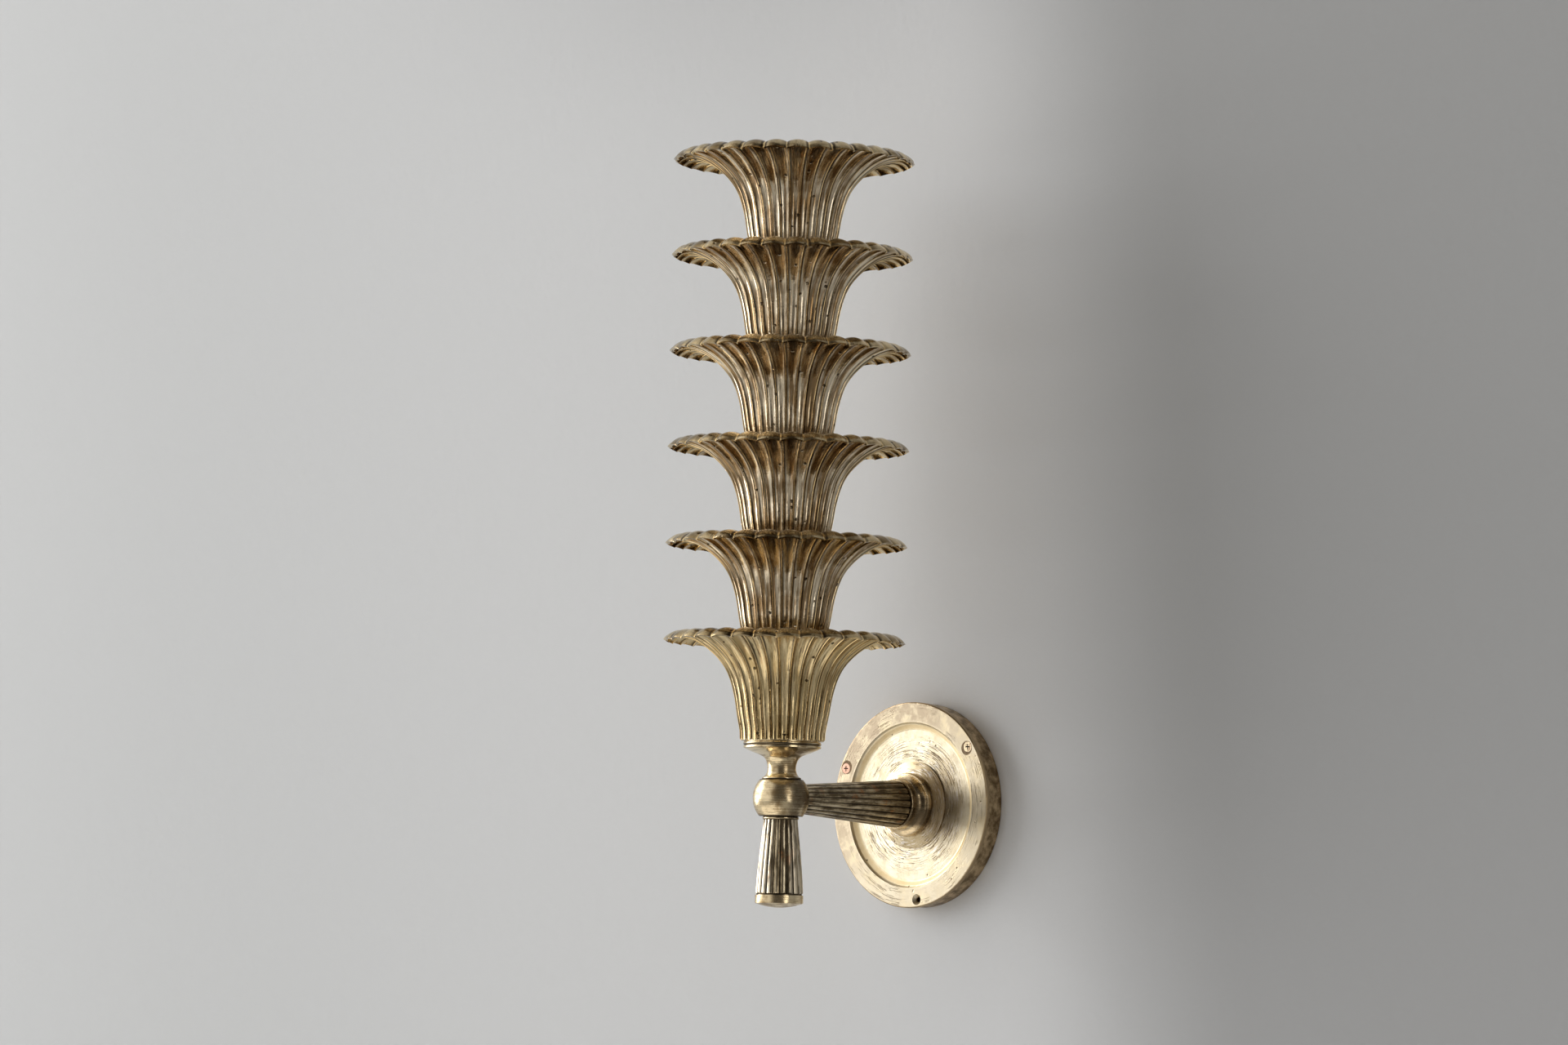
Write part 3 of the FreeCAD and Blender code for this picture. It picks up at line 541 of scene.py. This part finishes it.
def dress_brass_and_bronze():
    """Stem, ball, finial, arm, collar, plate and screws."""
    flange_crease = 0.0024               # the stem's last crease is this far under its top
    creases = [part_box("stem")[0][2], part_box("finial_bead")[1][2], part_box("finial_bead")[0][2],
               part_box("stem")[1][2] - flange_crease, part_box("finial_end_cap")[1][2]]
    brass = turned_brass("turned_brass", (0.82, 0.68, 0.44), (0.32, 0.225, 0.115), 0.34, 0.56, creases)
    dress(["stem", "ball_joint", "finial_bead", "finial_end_cap"], brass)
    collar = turned_brass("collar_brass", (0.78, 0.62, 0.39), (0.28, 0.20, 0.11), 0.36, 0.58, [], 4.0)
    dress(["collar"], collar)
    dress(["arm"], reeded_bronze("arm_bronze", "Y", 0.55))
    dress(["finial"], reeded_bronze("finial_bronze", "Z", 0.95))
    dress(["wall_plate"], plate_brass("plate_brass", (0.79, 0.725, 0.565), (0.65, 0.55, 0.37), 0.9))
    # The boss wears a darker copy of the plate's brass: painted shade.
    dress(["plate_boss"], plate_brass("boss_brass_painted_shade", (0.66, 0.56, 0.38), (0.46, 0.36, 0.21), 0.7))
    dress(["plate_screws"], screw_metal("screw_copper"))


def dress_plain_pieces():
    """The ring behind the plate, the lamp, and what the shells and the plate hide."""
    ring = plain_kind("ring_bronze", (0.62, 0.47, 0.28), (0.19, 0.13, 0.065), 160.0, 0.34, 1.0, 0.0003)
    dress(["wall_ring"], ring)
    steel = plain_kind("plated_steel", (0.62, 0.62, 0.60), (0.42, 0.42, 0.41), 600.0, 0.35, 1.0)
    dress(["column_rod", "arm_rod", "finial_stud", "top_washer", "wall_washer", "terminal_screws"], steel)
    small = plain_kind("small_brass", (0.80, 0.66, 0.38), (0.55, 0.41, 0.20), 500.0, 0.3, 1.0)
    dress(["top_nut", "wall_nut", "holder_contact", "terminal_sleeves", "earth_nut", "earth_stud"], small)
    drawn = plain_kind("drawn_tube", (0.60, 0.48, 0.30), (0.33, 0.24, 0.13), 120.0, 0.38, 1.0)
    dress(spacer_names, drawn)
    ivory = plain_kind("ivory_plastic", (0.80, 0.76, 0.66), (0.74, 0.70, 0.60), 300.0, 0.35, 0.0)
    dress(["lampholder"], ivory)
    white = plain_kind("white_plastic", (0.82, 0.82, 0.80), (0.76, 0.76, 0.74), 300.0, 0.5, 0.0)
    dress(["terminal_block"], white)
    cap = plain_kind("cap_metal", (0.78, 0.78, 0.77), (0.62, 0.62, 0.61), 500.0, 0.3, 1.0)
    dress(["lamp_cap"], cap)
    frosted = plain_kind("frosted_glass", (0.90, 0.89, 0.86), (0.86, 0.85, 0.82), 300.0, 0.4, 0.0,
                         Transmission_Weight=0.35)
    dress(["lamp_glass"], frosted)
    brown = plain_kind("brown_insulation", (0.20, 0.10, 0.05), (0.15, 0.075, 0.035), 400.0, 0.45, 0.0)
    dress(["line_lead"], brown)
    blue = plain_kind("blue_insulation", (0.06, 0.14, 0.40), (0.045, 0.10, 0.30), 400.0, 0.45, 0.0)
    dress(["neutral_lead"], blue)


# ---- floor, wall and light -----------------------------------------------------------------------


def wall_paint():
    """Pale plaster, darker to the right as in the photograph, with painted light and shade in its colour; it
    can't be seen from behind.
    """
    far_left, left, lit_by_column = (0.78, 0.80, 0.82), (0.88, 0.90, 0.925), (0.93, 0.95, 0.98)
    high_shade_colour = (0.66, 0.675, 0.695)
    right_shade_low, right_shade_high = (0.56, 0.57, 0.585), (0.52, 0.53, 0.54)
    far_border, column_border, right_border = (-0.80, -0.25), (-0.15, 0.05), (0.03, 0.24)
    high_border, high_start = (0.42, 0.66), (-0.60, -0.10)
    right_heights = (-0.20, 0.20)
    slant = 0.12                         # the borders lean this much with height

    g = Graph("backdrop")
    place = g.position()
    x, z = g.parts(place, "XZ")
    along = g.plus(x, g.times(g.minus(z, column_middle), slant))
    # The colour paints the room's light and shade: darker at the far left, lightest by the column, darker up
    # high and darker still to the right.
    colour = g.mix(g.step(along, *far_border), far_left, left)
    colour = g.mix(g.step(along, *column_border), colour, lit_by_column)
    high = g.times(g.step(z, *high_border), g.step(along, *high_start))
    colour = g.stain(colour, high_shade_colour, high, 0.7)
    right = g.mix(g.step(z, *right_heights), right_shade_low, right_shade_high)
    colour = g.mix(g.step(along, *right_border), colour, right)
    plaster = g.noise(place, 190.0, 3.0, 0.5)
    g.set(Base_Color=colour, Roughness=0.9, Metallic=0.0, Specular_IOR_Level=0.1,
          Normal=g.bump(plaster, 0.0006, 0.35))
    pick = g.node("ShaderNodeMixShader")
    g.feed(pick.inputs[0], g.node("ShaderNodeNewGeometry").outputs["Backfacing"])
    g.feed(pick.inputs[1], g.shader.outputs[0])
    g.feed(pick.inputs[2], g.node("ShaderNodeBsdfTransparent").outputs[0])
    g.feed(g.output.inputs["Surface"], pick.outputs[0])
    return g.material


def floor_paint():
    g = Graph("floor")
    grain = g.noise(g.position(), 5.0, 3.0, 0.5)
    g.set(Base_Color=g.mix(grain, (0.76, 0.75, 0.73), (0.80, 0.79, 0.77)), Roughness=0.85, Metallic=0.0)
    return g.material


def sheet_mesh(name, corners, material):
    """One flat sheet of the stage."""
    mesh = bpy.data.meshes.new(name)
    mesh.from_pydata(corners, [], [(0, 1, 2, 3)])
    item = bpy.data.objects.new(name, mesh)
    bpy.context.scene.collection.objects.link(item)
    mesh.materials.append(material)
    return item


def make_stage():
    """A pale wall behind the light, seen only from the front, and a pale floor well below it."""
    wide = stage_reach
    wall_corners = [(-wide, wall_gap, floor_level), (wide, wall_gap, floor_level),
                    (wide, wall_gap, wall_top), (-wide, wall_gap, wall_top)]
    floor_corners = [(-wide, -wide, floor_level), (wide, -wide, floor_level),
                     (wide, wide, floor_level), (-wide, wide, floor_level)]
    wall = sheet_mesh("backdrop_wall", wall_corners, wall_paint())
    wall.visible_shadow = False
    sheet_mesh("floor", floor_corners, floor_paint())


def room_way(azimuth, elevation):
    """Unit vector from the light to a place in the room; azimuth 0 is straight out from the wall."""
    turn = math.radians(azimuth)
    lift = math.radians(elevation)
    return Vector((math.sin(turn) * math.cos(lift), -math.cos(turn) * math.cos(lift), math.sin(lift)))


def area_lamp(name, azimuth, elevation, distance, width, height, power, tint):
    """A soft rectangular lamp that looks at the column's middle."""
    way = room_way(azimuth, elevation)
    data = bpy.data.lights.new(name, "AREA")
    data.shape = "RECTANGLE"
    data.size = width
    data.size_y = height
    data.energy = power
    data.color = tint
    lamp = bpy.data.objects.new(name, data)
    lamp.location = Vector((column_x, column_y, column_middle)) + way * distance
    lamp.rotation_mode = "QUATERNION"
    lamp.rotation_quaternion = (-way).to_track_quat("-Z", "Y")
    lamp.visible_camera = False
    bpy.context.scene.collection.objects.link(lamp)
    return lamp


def glint_lamp(*settings):
    """A lamp that only shines back from surfaces and doesn't light them."""
    area_lamp(*settings).visible_diffuse = False


def make_light():
    """A soft lamp on the left, a weak one behind, and three glints.

    Each line gives azimuth, elevation, distance, width, height, power and tint: degrees, metres and watts.
    """
    area_lamp("key_left", -62.0, 12.0, 3.2, 1.6, 2.2, 29.0, (1.0, 0.99, 0.97))
    glint_lamp("glint_left", -76.0, 10.0, 1.6, 0.6, 1.6, 12.0, (1.0, 0.98, 0.95))
    glint_lamp("glint_right", 78.0, 8.0, 1.6, 0.5, 1.6, 4.5, (1.0, 0.96, 0.90))
    glint_lamp("floor_bounce", -20.0, -70.0, 1.0, 1.4, 1.4, 4.0, (1.0, 0.95, 0.88))
    area_lamp("rear", 200.0, 25.0, 2.2, 1.4, 1.4, 6.0, (1.0, 1.0, 1.0))


def make_room():
    """A soft room that is bright on the left of the light and dim on its right."""
    bright_way = room_way(-56.0, 6.0)
    bright_start, bright_full = 0.22, 0.74       # cosines of the angle from bright_way
    dim_level, bright_level = 0.08, 0.92
    dim_tint, bright_tint = (1.0, 0.90, 0.78, 1.0), (1.0, 0.99, 0.97, 1.0)

    world = bpy.data.worlds.new("room")
    world.use_nodes = True
    tree = world.node_tree
    background = tree.nodes["Background"]
    way = tree.nodes.new("ShaderNodeTexCoord").outputs["Generated"]
    dot = tree.nodes.new("ShaderNodeVectorMath")
    dot.operation = "DOT_PRODUCT"
    dot.inputs[1].default_value = bright_way
    tree.links.new(way, dot.inputs[0])
    level = tree.nodes.new("ShaderNodeMapRange")
    level.interpolation_type = "SMOOTHSTEP"
    level.inputs["From Min"].default_value = bright_start
    level.inputs["From Max"].default_value = bright_full
    level.inputs["To Min"].default_value = dim_level
    level.inputs["To Max"].default_value = bright_level
    tree.links.new(dot.outputs["Value"], level.inputs["Value"])
    tint = tree.nodes.new("ShaderNodeMix")
    tint.data_type = "RGBA"
    tint.inputs[6].default_value = dim_tint
    tint.inputs[7].default_value = bright_tint
    tree.links.new(level.outputs["Result"], tint.inputs[0])
    tree.links.new(tint.outputs[2], background.inputs["Color"])
    tree.links.new(level.outputs["Result"], background.inputs["Strength"])
    bpy.context.scene.world = world


make_camera()
dress_shells()
dress_brass_and_bronze()
dress_plain_pieces()
make_stage()
make_room()
make_light()
bpy.context.scene.view_settings.view_transform = "Standard"
